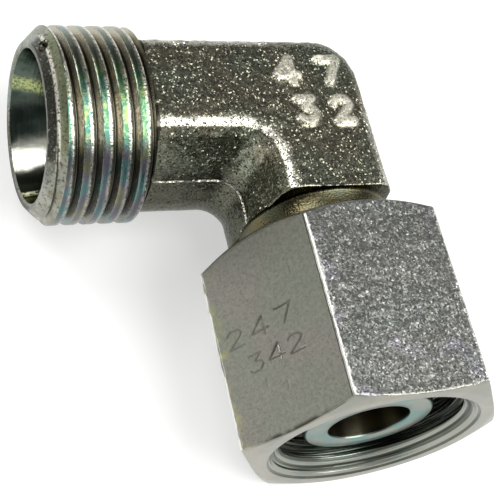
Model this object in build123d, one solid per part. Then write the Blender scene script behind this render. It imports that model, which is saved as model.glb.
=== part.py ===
from build123d import *

import os
from math import atan, cos, degrees, radians, tan

# 90 degree elbow fitting with a 24 degree cone system for 10 mm tube.
# One arm is a threaded male end, the other ends in a cone nipple that carries a hexagon swivel nut.
# Frame: origin at the centre of the tube stop in the male end, male arm along -X, nut arm along -Y,
# +Z up, with the part lying on a flat of its nut. Sizes in millimetres.
# The pieces are drawn about the point where the two arm axes cross, and moved to the frame last.
# A "reach" is a distance from that crossing along an arm.

# Forged block, parted on the plane of the two axes
MALE_ARM_WIDTH = 12.1
NUT_ARM_WIDTH = 12.9
MALE_ARM_LAND = 5.75
NUT_ARM_LAND = 1.1
FRONT_HEIGHT = 6.35
BACK_DEPTH = 6.9
WAIST_HEIGHT = 3.0
WAIST_INSET = 0.35
FRONT_FLAT_INSET = 2.0
BACK_DRAFT_INSET = 0.15
OUTER_CORNER_R = 5.0
INNER_CORNER_R = 2.8
FRONT_EDGE_R = 2.4
WAIST_EDGE_R = 3.0
BACK_EDGE_R = 3.9

# Male end: thread M16 x 1.5 drawn at its outer diameter, 24 degree cone, tube seat
THREAD_D = 15.9
THREAD_LENGTH = 7.6
THREAD_LEAD_DEPTH = 1.025
THREAD_LEAD_LENGTH = 0.75
RUNOUT_DEPTH = 1.15
RUNOUT_LENGTH = 0.7
CONE_ANGLE = 24.0
CONE_LENGTH = 5.175
TUBE_D = 10.0
TUBE_CLEARANCE = 0.1
TUBE_SEAT_LENGTH = 1.825
TUBE_STOP_WIDTH = 1.0
MALE_BORE_REACH = 3.0
DRILL_POINT_ANGLE = 118.0

# Nut arm: shoulder, neck, stub and cone nipple, all turned about the nut axis
SHOULDER_FILLET = 0.3
STUB_D = 13.2
NECK_UNDERCUT = 0.6
NECK_LENGTH = 3.25
STUB_LENGTH = 9.1
NIPPLE_STEP = 0.4
NIPPLE_LENGTH = 5.2
NIPPLE_EDGE = 0.25
NIPPLE_BORE_D = 6.5
NIPPLE_BORE_EDGE = 0.15

# Swivel nut: its thread takes the mating end's M16 x 1.5
NUT_THREAD_D = 16.0
NUT_THREAD_DEPTH = 0.8
NUT_THREAD_LENGTH = 5.25
NUT_WALL = 1.35
NUT_BACK_GAP = 2.85
NUT_TURN = -1.0
NUT_BACK_CHAMFER_INSET = 0.4
NUT_BACK_CHAMFER_ANGLE = 30.0
NUT_FACE_CHAMFER_ANGLE = 18.0
NUT_RUNNING_CLEARANCE = 0.05
NUT_SEAT_CLEARANCE = 0.05
NUT_SEAT_ANGLE = 45.0
NUT_MOUTH_STEP = 0.425
NUT_RELIEF_STEP = 0.15
NUT_RELIEF_WIDTH = 1.4

# Round-wire retaining ring that locks the nut along its axis, in a groove of the stub and of the nut
RING_SETBACK = 5.3
RING_WIRE_D = 1.6
RING_CLEARANCE = 0.05
RING_GAP_ANGLE = 18.0

# O-ring in a groove of the nipple's cone
O_RING_SETBACK = 1.8
O_RING_SECTION_D = 1.5
O_RING_PROUD = 0.18
O_RING_CLEARANCE = 0.05

# Only for drawing: how far a cut runs past a face, and how near an edge lies to its level
CUT_PAST = 1.0
LEVEL_BAND = 0.01

# Reaches along the male arm
CONE_SLOPE = tan(radians(CONE_ANGLE / 2))
THREAD_END_REACH = NUT_ARM_WIDTH / 2 + INNER_CORNER_R + MALE_ARM_LAND
MALE_REACH = THREAD_END_REACH + THREAD_LENGTH
TUBE_SEAT_DEPTH = CONE_LENGTH + TUBE_SEAT_LENGTH
THREAD_R = THREAD_D / 2
SEAT_R = TUBE_D / 2 + TUBE_CLEARANCE / 2
CONE_MOUTH_R = SEAT_R + CONE_LENGTH * CONE_SLOPE
CROSSING = Pos(MALE_REACH - TUBE_SEAT_DEPTH, 0, 0)

# Reaches and radii along the nut arm
SHOULDER_REACH = MALE_ARM_WIDTH / 2 + INNER_CORNER_R + NUT_ARM_LAND
NECK_END_REACH = SHOULDER_REACH + NECK_LENGTH
STUB_END_REACH = NECK_END_REACH + STUB_LENGTH
NIPPLE_REACH = STUB_END_REACH + NIPPLE_LENGTH
STUB_R = STUB_D / 2
NECK_R = STUB_R - NECK_UNDERCUT
NIPPLE_LARGE_R = STUB_R - NIPPLE_STEP

# Nut
NUT_BACK_REACH = SHOULDER_REACH + NUT_BACK_GAP
NUT_SEAT_END_REACH = STUB_END_REACH - NUT_SEAT_CLEARANCE
NUT_RELIEF_END_REACH = NUT_SEAT_END_REACH + NUT_RELIEF_WIDTH
NUT_FACE_REACH = NUT_RELIEF_END_REACH + NUT_THREAD_LENGTH
NUT_BORE_R = STUB_R + NUT_RUNNING_CLEARANCE
NUT_MINOR_R = NUT_THREAD_D / 2 - NUT_THREAD_DEPTH
NUT_MOUTH_R = NUT_THREAD_D / 2 + NUT_MOUTH_STEP
NUT_RELIEF_R = NUT_THREAD_D / 2 + NUT_RELIEF_STEP
NUT_AF = 2 * (NUT_RELIEF_R + NUT_WALL)

# Retaining ring and its grooves
RING_REACH = STUB_END_REACH - RING_SETBACK
RING_WIRE_R = RING_WIRE_D / 2
RING_GROOVE_WIDTH = RING_WIRE_D + 2 * RING_CLEARANCE
NUT_GROOVE_R = STUB_R + RING_WIRE_R + RING_CLEARANCE
STUB_GROOVE_R = STUB_R - RING_WIRE_D - RING_CLEARANCE

# O-ring and its groove
O_RING_REACH = STUB_END_REACH + O_RING_SETBACK
O_RING_OUTER_R = NIPPLE_LARGE_R - O_RING_SETBACK * CONE_SLOPE + O_RING_PROUD
O_RING_CENTRE_R = O_RING_OUTER_R - O_RING_SECTION_D / 2
O_RING_GROOVE_R = O_RING_OUTER_R - O_RING_SECTION_D - O_RING_CLEARANCE
O_RING_GROOVE_WIDTH = O_RING_SECTION_D + 4 * O_RING_CLEARANCE


def turned_about_nut_axis(outline):
    """Solid turned about the nut axis from (radius, reach) points."""
    points = [(radius, -reach) for radius, reach in outline]
    return revolve(make_face(Polyline(*points, close=True)), axis=Axis.Y)


def turned_about_male_axis(outline):
    """Solid turned about the male arm's axis from (radius, reach) points."""
    points = [(-reach, radius) for radius, reach in outline]
    return revolve(make_face(Polyline(*points, close=True)), axis=Axis.X)


def elbow_plan(inset, height):
    """The forging's L outline, seen along Z, moved in by inset, as a face at the given height."""
    half_male = MALE_ARM_WIDTH / 2 - inset
    half_nut = NUT_ARM_WIDTH / 2 - inset
    beyond = 2 * (THREAD_END_REACH + SHOULDER_REACH)
    corners = [
        (-beyond, -half_male),
        (-half_nut, -half_male),
        (-half_nut, -beyond),
        (half_nut, -beyond),
        (half_nut, half_male),
        (-beyond, half_male),
    ]
    radii = [0, INNER_CORNER_R + inset, 0, 0, OUTER_CORNER_R - inset, 0]
    outline = FilletPolyline(*corners, radius=radii, close=True)
    return Pos(0, 0, height) * make_face(outline)


def forged_layer(inset, base, thickness, top_inset):
    """One layer of the forging, whose outline moves in from inset to top_inset as it rises."""
    draft = degrees(atan((top_inset - inset) / thickness))
    return extrude(elbow_plan(inset, base), amount=thickness, taper=draft)


def cut_to_length(block):
    """The block cut square where each arm ends."""
    length = THREAD_END_REACH + NUT_ARM_WIDTH
    width = SHOULDER_REACH + MALE_ARM_WIDTH
    height = 2 * (FRONT_HEIGHT + BACK_DEPTH)
    trim = Box(length, width, height, align=(Align.MIN, Align.MIN, Align.CENTER))
    return block & (Pos(-THREAD_END_REACH, -SHOULDER_REACH, 0) * trim)


def long_edges_at(block, height):
    """The edges that run along both arms at one height, without those of the cut ends."""
    level = block.edges().filter_by_position(Axis.Z, height - LEVEL_BAND, height + LEVEL_BAND)
    off_male_end = level.filter_by_position(Axis.X, LEVEL_BAND - THREAD_END_REACH, NUT_ARM_WIDTH)
    return off_male_end.filter_by_position(Axis.Y, LEVEL_BAND - SHOULDER_REACH, MALE_ARM_WIDTH)


def forged_block():
    """Front and back halves of the forging, each cut to length and rounded."""
    front = forged_layer(0, 0, WAIST_HEIGHT, WAIST_INSET)
    front += forged_layer(WAIST_INSET, WAIST_HEIGHT, FRONT_HEIGHT - WAIST_HEIGHT, FRONT_FLAT_INSET)
    front = cut_to_length(front)
    front = fillet(long_edges_at(front, FRONT_HEIGHT), FRONT_EDGE_R)
    front = fillet(long_edges_at(front, WAIST_HEIGHT), WAIST_EDGE_R)
    back = cut_to_length(forged_layer(0, 0, BACK_DEPTH, BACK_DRAFT_INSET))
    back = fillet(long_edges_at(back, BACK_DEPTH), BACK_EDGE_R)
    return front + back.mirror(Plane.XY)


def male_end():
    """Threaded barrel with its lead chamfer and its run-out down to the forging."""
    return turned_about_male_axis(
        [
            (0, MALE_REACH),
            (THREAD_R - THREAD_LEAD_DEPTH, MALE_REACH),
            (THREAD_R, MALE_REACH - THREAD_LEAD_LENGTH),
            (THREAD_R, THREAD_END_REACH),
            (THREAD_R - RUNOUT_DEPTH, THREAD_END_REACH - RUNOUT_LENGTH),
            (0, THREAD_END_REACH - RUNOUT_LENGTH),
        ]
    )


def nut_arm_end():
    """Neck, stub and cone nipple, with the grooves of the retaining ring and of the O-ring."""
    tip_reach = NIPPLE_REACH - NIPPLE_EDGE
    tip_r = NIPPLE_LARGE_R - (tip_reach - STUB_END_REACH) * CONE_SLOPE
    turned = turned_about_nut_axis(
        [
            (0, SHOULDER_REACH - SHOULDER_FILLET),
            (NECK_R, SHOULDER_REACH - SHOULDER_FILLET),
            (NECK_R + SHOULDER_FILLET, SHOULDER_REACH),
            (NECK_R, SHOULDER_REACH + SHOULDER_FILLET),
            (NECK_R, NECK_END_REACH),
            (STUB_R, NECK_END_REACH + NECK_UNDERCUT),
            (STUB_R, STUB_END_REACH),
            (NIPPLE_LARGE_R, STUB_END_REACH),
            (tip_r, tip_reach),
            (tip_r - NIPPLE_EDGE, NIPPLE_REACH),
            (0, NIPPLE_REACH),
        ]
    )
    ring_groove = groove_cutter(STUB_GROOVE_R, RING_REACH, RING_GROOVE_WIDTH)
    o_ring_groove = groove_cutter(O_RING_GROOVE_R, O_RING_REACH, O_RING_GROOVE_WIDTH)
    return turned - ring_groove - o_ring_groove


def groove_cutter(bottom_r, reach, width):
    """Ring that cuts a square groove around the nut axis, down to bottom_r."""
    return turned_about_nut_axis(
        [
            (bottom_r, reach - width / 2),
            (NUT_AF, reach - width / 2),
            (NUT_AF, reach + width / 2),
            (bottom_r, reach + width / 2),
        ]
    )


def male_bore():
    """24 degree cone, tube seat and flow bore, ending in a drill point past the corner."""
    bore_r = TUBE_D / 2 - TUBE_STOP_WIDTH
    point_length = bore_r / tan(radians(DRILL_POINT_ANGLE / 2))
    return turned_about_male_axis(
        [
            (0, MALE_REACH + CUT_PAST),
            (CONE_MOUTH_R + CUT_PAST * CONE_SLOPE, MALE_REACH + CUT_PAST),
            (SEAT_R, MALE_REACH - CONE_LENGTH),
            (SEAT_R, MALE_REACH - TUBE_SEAT_DEPTH),
            (bore_r, MALE_REACH - TUBE_SEAT_DEPTH),
            (bore_r, point_length - MALE_BORE_REACH),
            (0, -MALE_BORE_REACH),
        ]
    )


def nipple_bore():
    """Flow bore of the nut arm, up to the male arm's axis, with a small edge at the nipple's face."""
    bore_r = NIPPLE_BORE_D / 2
    return turned_about_nut_axis(
        [
            (0, 0),
            (bore_r, 0),
            (bore_r, NIPPLE_REACH - NIPPLE_BORE_EDGE),
            (bore_r + NIPPLE_BORE_EDGE, NIPPLE_REACH),
            (bore_r + NIPPLE_BORE_EDGE, NIPPLE_REACH + CUT_PAST),
            (0, NIPPLE_REACH + CUT_PAST),
        ]
    )


def elbow_body():
    """The one-piece forging, machined at both ends and drilled through."""
    return forged_block() + male_end() + nut_arm_end() - male_bore() - nipple_bore()


def nut_blank():
    """Hexagon bar, chamfered at both ends."""
    corner_r = NUT_AF / 2 / cos(radians(30))
    face_r = NUT_AF / 2
    back_r = NUT_AF / 2 - NUT_BACK_CHAMFER_INSET
    face_drop = (corner_r - face_r) * tan(radians(NUT_FACE_CHAMFER_ANGLE))
    back_drop = (corner_r - back_r) * tan(radians(NUT_BACK_CHAMFER_ANGLE))
    length = NUT_FACE_REACH - NUT_BACK_REACH
    # Seen from the nut's back, along -Y: the plane's own x axis is the row's X axis
    hexagon = Plane.XZ * RegularPolygon(corner_r, 6)
    bar = extrude(hexagon, amount=length, dir=(0, -1, 0))
    bar = Pos(0, -NUT_BACK_REACH, 0) * bar.rotate(Axis.Y, NUT_TURN)
    envelope = turned_about_nut_axis(
        [
            (0, NUT_BACK_REACH),
            (back_r, NUT_BACK_REACH),
            (corner_r, NUT_BACK_REACH + back_drop),
            (corner_r, NUT_FACE_REACH - face_drop),
            (face_r, NUT_FACE_REACH),
            (0, NUT_FACE_REACH),
        ]
    )
    return bar & envelope


def nut_bore():
    """Running bore over the stub, 45 degree seat, relief, thread bore and countersunk mouth."""
    seat_length = (NUT_RELIEF_R - NUT_BORE_R) / tan(radians(NUT_SEAT_ANGLE))
    return turned_about_nut_axis(
        [
            (0, NUT_BACK_REACH - CUT_PAST),
            (NUT_BORE_R, NUT_BACK_REACH - CUT_PAST),
            (NUT_BORE_R, NUT_SEAT_END_REACH - seat_length),
            (NUT_RELIEF_R, NUT_SEAT_END_REACH),
            (NUT_RELIEF_R, NUT_RELIEF_END_REACH),
            (NUT_MINOR_R, NUT_RELIEF_END_REACH + NUT_RELIEF_R - NUT_MINOR_R),
            (NUT_MINOR_R, NUT_FACE_REACH - NUT_MOUTH_R + NUT_MINOR_R),
            (NUT_MOUTH_R, NUT_FACE_REACH),
            (NUT_MOUTH_R, NUT_FACE_REACH + CUT_PAST),
            (0, NUT_FACE_REACH + CUT_PAST),
        ]
    )


def swivel_nut():
    """Hexagon nut that spins on the stub, held along it by the retaining ring."""
    return nut_blank() - nut_bore() - groove_cutter_inside(NUT_GROOVE_R, RING_REACH, RING_GROOVE_WIDTH)


def groove_cutter_inside(bottom_r, reach, width):
    """Disc that cuts a square groove into a bore around the nut axis, out to bottom_r."""
    return turned_about_nut_axis(
        [
            (0, reach - width / 2),
            (bottom_r, reach - width / 2),
            (bottom_r, reach + width / 2),
            (0, reach + width / 2),
        ]
    )


def retaining_ring():
    """Open ring of round spring wire, half in the stub's groove and half in the nut's."""
    section = Pos(STUB_R, -RING_REACH, 0) * Circle(RING_WIRE_R)
    return revolve(section, axis=Axis.Y, revolution_arc=360.0 - RING_GAP_ANGLE)


def o_ring():
    """Rubber ring in the groove of the nipple's cone."""
    section = Pos(O_RING_CENTRE_R, -O_RING_REACH, 0) * Circle(O_RING_SECTION_D / 2)
    return revolve(section, axis=Axis.Y)


os.makedirs("parts", exist_ok=True)
nodes = {
    "elbow_body": elbow_body(),
    "swivel_nut": swivel_nut(),
    "retaining_ring": retaining_ring(),
    "o_ring": o_ring(),
}
for name, drawn in nodes.items():
    placed = CROSSING * drawn
    placed.label = name
    export_step(placed, f"parts/{name}.step")
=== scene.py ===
import math
from itertools import product

import bmesh
import bpy
import numpy as np
from mathutils import Matrix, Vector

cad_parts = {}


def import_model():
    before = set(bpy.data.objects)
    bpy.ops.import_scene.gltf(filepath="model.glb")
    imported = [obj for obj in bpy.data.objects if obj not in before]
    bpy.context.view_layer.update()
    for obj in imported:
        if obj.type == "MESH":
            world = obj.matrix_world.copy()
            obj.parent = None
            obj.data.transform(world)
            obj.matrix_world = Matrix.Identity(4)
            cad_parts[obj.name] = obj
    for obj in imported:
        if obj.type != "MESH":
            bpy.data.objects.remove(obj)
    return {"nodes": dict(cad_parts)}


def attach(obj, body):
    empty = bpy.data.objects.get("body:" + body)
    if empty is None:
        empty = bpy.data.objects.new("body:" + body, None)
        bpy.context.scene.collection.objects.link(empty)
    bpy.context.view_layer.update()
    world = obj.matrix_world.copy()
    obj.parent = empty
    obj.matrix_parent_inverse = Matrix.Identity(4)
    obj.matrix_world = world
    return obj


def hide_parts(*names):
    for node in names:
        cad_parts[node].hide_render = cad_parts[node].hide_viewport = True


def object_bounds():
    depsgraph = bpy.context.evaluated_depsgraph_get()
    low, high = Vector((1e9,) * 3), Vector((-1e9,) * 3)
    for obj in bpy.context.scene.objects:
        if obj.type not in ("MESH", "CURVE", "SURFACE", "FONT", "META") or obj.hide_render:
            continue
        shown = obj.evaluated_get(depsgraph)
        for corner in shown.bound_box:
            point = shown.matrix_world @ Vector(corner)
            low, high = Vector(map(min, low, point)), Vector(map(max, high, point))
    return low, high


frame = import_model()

CAD_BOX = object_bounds()

# Sizes in millimetres, angles in degrees, places from the crossing of the two arm axes, which lies at
# CROSSING_X in the frame. The male arm runs towards -X, the nut arm towards -Y; the front faces +Z.
MM = 0.001
CROSSING_X = 15.6
CONE_SLOPE = math.tan(math.radians(12))

# Forging: half its width on each arm, its front and back, and its shoulder on the nut arm
MALE_HALF = 6.05
NUT_HALF = 6.45
FRONT = 6.35
BACK = 6.9
SHOULDER = 9.95
FRONT_ROUND = 2.2
BACK_ROUND = 3.9
BACK_LEAN = 0.15
OUTER_ROUND = 5.4
BLOCK_END = 14.5

# Male end: its face, the thread's inner end, where the helix starts, the lead chamfer, tube and bore
FACE_X = 22.6
THREAD_R = 7.95
THREAD_END = 14.62
THREAD_DEPTH = 0.7
THREAD_START = -27.01
PITCH = 1.497
LEAD_R = 6.74
LEAD_LENGTH = 1.2
ENVELOPE_R = 8.3
TUBE_R = 5.05
CONE_DEPTH = 5.175
TUBE_STOP = 7.0
MALE_BORE_R = 4.0
PIT = (-22.1, 3.1, 6.6)
PIT_SIZE = (0.4, 0.64, 0.6)

# Nut arm: neck, stub, both ends of the ring's groove, cone, bore with its edge, and the nipple's end
NECK_R = 6.0
STUB_R = 6.6
RING_GROOVE = (16.15, 17.85)
CONE_START = 22.3
CONE_R = 6.2
BORE_R = 3.25
BORE_EDGE_R = 3.42
NIPPLE_END = 27.5

# Nut: its ends, its flats' distance from the axis, and how it is turned
NUT_BACK = 12.8
NUT_FACE = 28.9
NUT_FLAT_R = 9.5
NUT_CORNER_R = 0.22
NUT_TURN = -1.0
CHAMFER_R = 9.1

# The nut's flats, counted from the front one towards +X
FLATS = 6
SECTOR = math.pi / 3
MARKED_FLAT = 5
GRAINY_FLATS = (0, 1, 3)


# Noise that is the same in each run, and smooth steps

def lattice(cells, seed):
    """A value from -1 to 1 for each whole-number cell."""
    n = cells[:, 0] * 374761393 + cells[:, 1] * 668265263 + cells[:, 2] * 1440662683
    n = (n + seed * 1274126177) & 0xFFFFFFFF
    n = ((n ^ (n >> 13)) * 1274126177) & 0xFFFFFFFF
    n = ((n ^ (n >> 16)) * 2246822519) & 0xFFFFFFFF
    return (n >> 8 & 0xFFFF) / 32767.5 - 1


def noise(points, size, seed):
    """Smooth noise from -1 to 1 at points, whose bumps are about size across."""
    p = points / size
    low = np.floor(p).astype(np.int64)
    f = p - low
    f = f * f * f * (f * (f * 6 - 15) + 10)
    total = np.zeros(len(p))
    for corner in product((0, 1), repeat=3):
        weight = np.ones(len(p))
        for axis, side in enumerate(corner):
            weight = weight * (f[:, axis] if side else 1 - f[:, axis])
        total += weight * lattice(low + np.array(corner), seed)
    return total


def step_up(value, low, high):
    """0 below low, 1 above high, and smooth between."""
    t = np.clip((value - low) / (high - low), 0, 1)
    return t * t * (3 - 2 * t)


# Meshes

def linked(name, data):
    """A new object in the scene."""
    obj = bpy.data.objects.new(name, data)
    bpy.context.scene.collection.objects.link(obj)
    return obj


def mesh_object(name, points, faces):
    """A Blender object from points in millimetres about the crossing."""
    mesh = bpy.data.meshes.new(name)
    places = (np.asarray(points, float) + (CROSSING_X, 0, 0)) * MM
    mesh.from_pydata([tuple(p) for p in places], [], [tuple(f) for f in faces])
    mesh.update()
    return linked(name, mesh)


def turned_outward(points, faces):
    """The faces, flipped if the solid that they close is inside out."""
    total = 0.0
    points = np.asarray(points, float)
    for f in faces:
        a = points[f[0]]
        for i in range(1, len(f) - 1):
            total += float(np.dot(a, np.cross(points[f[i]], points[f[i + 1]])))
    return faces if total > 0 else [f[::-1] for f in faces]


def ring_faces(rings, around):
    """Quads between rings of points that follow one another."""
    faces = []
    for k in range(rings - 1):
        for j in range(around):
            n = (j + 1) % around
            a, b = k * around, (k + 1) * around
            faces.append((a + j, a + n, b + n, b + j))
    return faces


def fan(centre, loop):
    """Triangles between a centre and each edge of a loop of points."""
    return [(centre, b, a) for a, b in zip(loop, loop[1:] + loop[:1])]


def lathe(name, outline, axis, segments=192):
    """Solid turned from (radius, place along the arm) points; the first and last lie on the axis.

    axis is "x" for the male arm and "y" for the nut arm. Places are negative coordinates.
    """
    points = []
    faces = []
    angles = np.arange(segments) * 2 * math.pi / segments
    rings = []
    for radius, reach in outline:
        start = len(points)
        if radius == 0:
            points.append((-reach, 0, 0) if axis == "x" else (0, -reach, 0))
            rings.append((start, 1))
            continue
        for a in angles:
            u, v = radius * math.cos(a), radius * math.sin(a)
            points.append((-reach, u, v) if axis == "x" else (u, -reach, v))
        rings.append((start, segments))
    for (a, na), (b, nb) in zip(rings, rings[1:]):
        for i in range(segments):
            j = (i + 1) % segments
            if na == 1:
                faces.append((a, b + j, b + i))
            elif nb == 1:
                faces.append((a + i, a + j, b))
            else:
                faces.append((a + i, a + j, b + j, b + i))
    return mesh_object(name, points, turned_outward(points, faces))


def combine(target, other, operation):
    """Adds, cuts or intersects two closed meshes and removes the second."""
    modifier = target.modifiers.new("combine", "BOOLEAN")
    modifier.operation = operation
    modifier.solver = "MANIFOLD"
    modifier.object = other
    bpy.context.view_layer.update()
    graph = bpy.context.evaluated_depsgraph_get()
    result = bpy.data.meshes.new_from_object(target.evaluated_get(graph))
    target.modifiers.clear()
    old = target.data
    result.name = old.name
    target.data = result
    bpy.data.meshes.remove(old)
    bpy.data.objects.remove(other)
    if len(result.polygons) == 0:
        raise RuntimeError("an empty result for " + target.name)


# The forged block

SECTION_STEP = 0.04
SECTION_S = np.arange(-9.0, 2.5, SECTION_STEP)
SECTION_Z = np.arange(-8.4, 8.0, SECTION_STEP)


def section_edges():
    """Half-planes of the block's section: s is how far outside the plan's outline, z the height."""
    front = [(0.0, 0.0), (-0.12, 1.0), (-0.27, 1.9), (-0.58, 3.05), (-1.22, 4.68), (-1.5, 5.12)]
    centre = (-3.3, FRONT - FRONT_ROUND)
    for angle in np.linspace(38, 90, 9):
        t = math.radians(angle)
        front.append((centre[0] + FRONT_ROUND * math.cos(t), centre[1] + FRONT_ROUND * math.sin(t)))
    front.append((SECTION_S[0], FRONT))
    centre = (-BACK_LEAN - BACK_ROUND, -(BACK - BACK_ROUND))
    back = [(-0.1, 0.0), (-0.12, -1.5), (-BACK_LEAN, centre[1])]
    for angle in np.linspace(0, 90, 13)[1:]:
        t = math.radians(angle)
        back.append((centre[0] + BACK_ROUND * math.cos(t), centre[1] - BACK_ROUND * math.sin(t)))
    back.append((SECTION_S[0], -BACK))
    edges = []
    for chain, sign in ((front, 1), (back, -1)):
        for (s0, z0), (s1, z1) in zip(chain, chain[1:]):
            length = math.hypot(s1 - s0, z1 - z0)
            normal = (sign * (z1 - z0) / length, -sign * (s1 - s0) / length)
            edges.append((normal, (s0, z0)))
    return edges


def section_table():
    """The section's distance on a fine grid, below zero inside."""
    s, z = np.meshgrid(SECTION_S, SECTION_Z, indexing="ij")
    best = np.full(s.shape, -1e9)
    for (ns, nz), (s0, z0) in section_edges():
        best = np.maximum(best, ns * (s - s0) + nz * (z - z0))
    return best


SECTION = section_table()


def round_or(a, b, r):
    """Joins two fields with a fillet of radius r in the inner corner."""
    inside = np.sqrt(np.maximum(r - a, 0) ** 2 + np.maximum(r - b, 0) ** 2)
    return np.where((a < r) & (b < r), r - inside, np.minimum(a, b))


def round_and(a, b, r):
    """Overlap of two fields with the outer corner rounded to radius r."""
    outside = np.sqrt(np.maximum(a + r, 0) ** 2 + np.maximum(b + r, 0) ** 2)
    return np.where((a > -r) & (b > -r), outside - r, np.maximum(a, b))


def block_field(x, y, z):
    """Below zero inside the forged block, before its flash and its marks.

    Its inner corner gets sharper towards the front. Its outer side is 0.2 mm further out along the male
    arm and 0.08 mm further in along the nut arm than its inner side.
    """
    inner_r = 1.4 - 0.4 * step_up(z, 0.0, 5.0)
    outer = round_and(y - MALE_HALF - 0.2, x - NUT_HALF + 0.08, OUTER_ROUND)
    inner = round_or(-y - MALE_HALF, -x - NUT_HALF, inner_r)
    s = np.maximum(outer, inner)
    u = np.clip((s - SECTION_S[0]) / SECTION_STEP, 0, len(SECTION_S) - 1.001)
    v = np.clip((z - SECTION_Z[0]) / SECTION_STEP, 0, len(SECTION_Z) - 1.001)
    i, j = u.astype(int), v.astype(int)
    fu, fv = u - i, v - j
    near = SECTION[i, j] * (1 - fu) + SECTION[i + 1, j] * fu
    far = SECTION[i, j + 1] * (1 - fu) + SECTION[i + 1, j + 1] * fu
    field = near * (1 - fv) + far * fv
    field = round_and(field, -y - SHOULDER, 0.12)
    return np.maximum(field, -x - BLOCK_END)


GRID = 0.155
FINE_GRID = 0.05


def spaced(low, high, fine=None, reach=0.0):
    """Grid places from low to high, closer together within reach of the place called fine."""
    places = [low]
    while places[-1] < high:
        near = fine is not None and abs(places[-1] - fine) < reach
        places.append(places[-1] + (FINE_GRID if near else GRID))
    return np.array(places)


def surface_net(field, xs, ys, zs):
    """Quads where a sampled field changes sign."""
    inside = field < 0
    nx, ny, nz = field.shape

    def part(a, offset):
        i, j, k = offset
        return a[i:nx - 1 + i, j:ny - 1 + j, k:nz - 1 + k]

    corners = list(product((0, 1), repeat=3))
    count = sum(part(inside, c).astype(np.int8) for c in corners)
    active = (count > 0) & (count < 8)
    cells = np.nonzero(active)
    many = len(cells[0])
    index = np.full(active.shape, -1)
    index[active] = np.arange(many)
    axes = (xs, ys, zs)
    total = np.zeros((many, 3))
    hits = np.zeros(many)
    for a in corners:
        for axis in range(3):
            if a[axis]:
                continue
            b = tuple(1 if n == axis else a[n] for n in range(3))
            fa = part(field, a)[active]
            fb = part(field, b)[active]
            cut = (fa < 0) != (fb < 0)
            t = np.where(cut, fa / np.where(cut, fa - fb, 1), 0)
            for n in range(3):
                pa, pb = axes[n][cells[n] + a[n]], axes[n][cells[n] + b[n]]
                total[:, n] += (pa + t * (pb - pa)) * cut
            hits += cut
    points = total / hits[:, None]
    faces = []
    for axis in range(3):
        u, v = [n for n in range(3) if n != axis]
        first = [slice(1, -1)] * 3
        second = [slice(1, -1)] * 3
        first[axis] = slice(0, -1)
        second[axis] = slice(1, None)
        a, b = inside[tuple(first)], inside[tuple(second)]
        base = np.nonzero(a != b)
        ring = []
        for du, dv in ((1, 1), (0, 1), (0, 0), (1, 0)):
            cell = list(base)
            cell[u] = base[u] + du
            cell[v] = base[v] + dv
            ring.append(index[tuple(cell)])
        quads = np.stack(ring, axis=1)
        flip = a[base] != (axis == 1)
        quads[flip] = quads[flip][:, ::-1]
        faces.append(quads)
    return points, np.concatenate(faces)


def slopes(points, step=0.01):
    """The block field's value and gradient at points."""
    moves = np.eye(3) * step
    rises = [block_field(*(points + m).T) - block_field(*(points - m).T) for m in moves]
    return block_field(*points.T), np.stack(rises, axis=1) / (2 * step)


# The stroke of each plain digit, in a cell one unit wide
CELL_HEIGHT = 1.6
DIGITS = {
    "2": [(0.05, 1.3), (0.3, 1.58), (0.75, 1.55), (0.95, 1.2), (0.8, 0.85), (0.05, 0.02), (1.0, 0.02)],
    "3": [(0.08, 1.58), (0.92, 1.58), (0.45, 0.98), (0.85, 0.82), (0.95, 0.42), (0.7, 0.05),
          (0.25, 0.02), (0.05, 0.25)],
    "4": [(0.75, 0.0), (0.75, 1.6), (0.0, 0.45), (1.05, 0.45)],
    "7": [(0.02, 1.58), (1.0, 1.58), (0.4, 0.0)],
}


def stroke_distance(x, y, lines):
    """Distance from each point to the nearest stroke."""
    best = np.full(x.shape, 1e9)
    for line in lines:
        for (x0, y0), (x1, y1) in zip(line, line[1:]):
            dx, dy = x1 - x0, y1 - y0
            t = np.clip(((x - x0) * dx + (y - y0) * dy) / (dx * dx + dy * dy), 0, 1)
            best = np.minimum(best, np.hypot(x - x0 - t * dx, y - y0 - t * dy))
    return best


def placed_digits(text, origin, width, height, gap):
    """Strokes of a row of digits, from its lower left corner."""
    lines = []
    for n, digit in enumerate(text):
        left, low = origin[0] + n * (width + gap), origin[1]
        stroke = DIGITS[digit]
        lines.append([(left + px * width, low + py / CELL_HEIGHT * height) for px, py in stroke])
    return lines


def raised_lines():
    """Strokes of the raised digits on the forging's front."""
    upper = placed_digits("47", (-3.0, -0.1), 1.7, 2.3, 2.2)
    return upper + placed_digits("32", (-1.95, -3.9), 1.45, 2.2, 1.75)


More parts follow.
